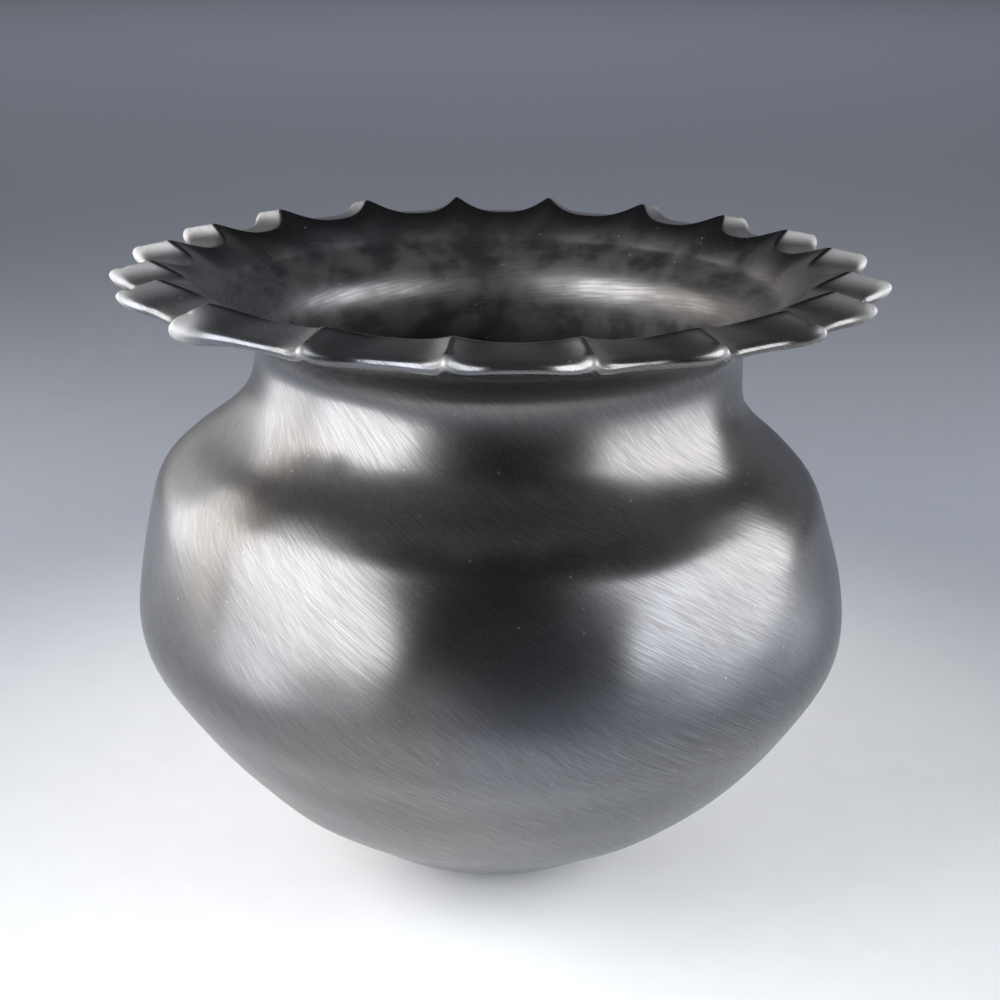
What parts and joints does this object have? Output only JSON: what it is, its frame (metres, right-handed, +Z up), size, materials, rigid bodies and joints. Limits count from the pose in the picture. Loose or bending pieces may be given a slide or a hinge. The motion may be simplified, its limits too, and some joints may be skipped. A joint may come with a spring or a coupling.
{
  "type": "clay pot",
  "caption": "Round-bellied black clay pot with a narrowed neck, a wide flaring collar and a lip pinched into a ring of rounded points with scooped facets between them.",
  "frame": {"origin": "middle of the flat resting face under the base disc", "axes": "+Z up along the pot's axis, -Y towards the side the pot is usually seen from, +X to the right of it"},
  "size_m": [0.247, 0.2476, 0.2132],
  "materials": {
    "burnished_clay": "burnished, semi-gloss graphite black",
    "lip_clay": "burnished, semi-gloss graphite black, rubbed paler at the tips"
  },
  "bodies": {
    "root": {"base_disc": "burnished_clay", "lower_wall_coil_1": "burnished_clay", "lower_wall_coil_2": "burnished_clay", "belly_coil_1": "burnished_clay", "belly_coil_2": "burnished_clay", "shoulder_coil_1": "burnished_clay", "shoulder_coil_2": "burnished_clay", "neck_coil": "burnished_clay", "collar_coil": "burnished_clay", "lip_point_01": "lip_clay", "lip_point_02": "lip_clay", "lip_point_03": "lip_clay", "lip_point_04": "lip_clay", "lip_point_05": "lip_clay", "lip_point_06": "lip_clay", "lip_point_07": "lip_clay", "lip_point_08": "lip_clay", "lip_point_09": "lip_clay", "lip_point_10": "lip_clay", "lip_point_11": "lip_clay", "lip_point_12": "lip_clay", "lip_point_13": "lip_clay", "lip_point_14": "lip_clay", "lip_point_15": "lip_clay", "lip_point_16": "lip_clay", "lip_point_17": "lip_clay", "lip_point_18": "lip_clay", "lip_point_19": "lip_clay", "lip_point_20": "lip_clay"}
  },
  "joints": []
}
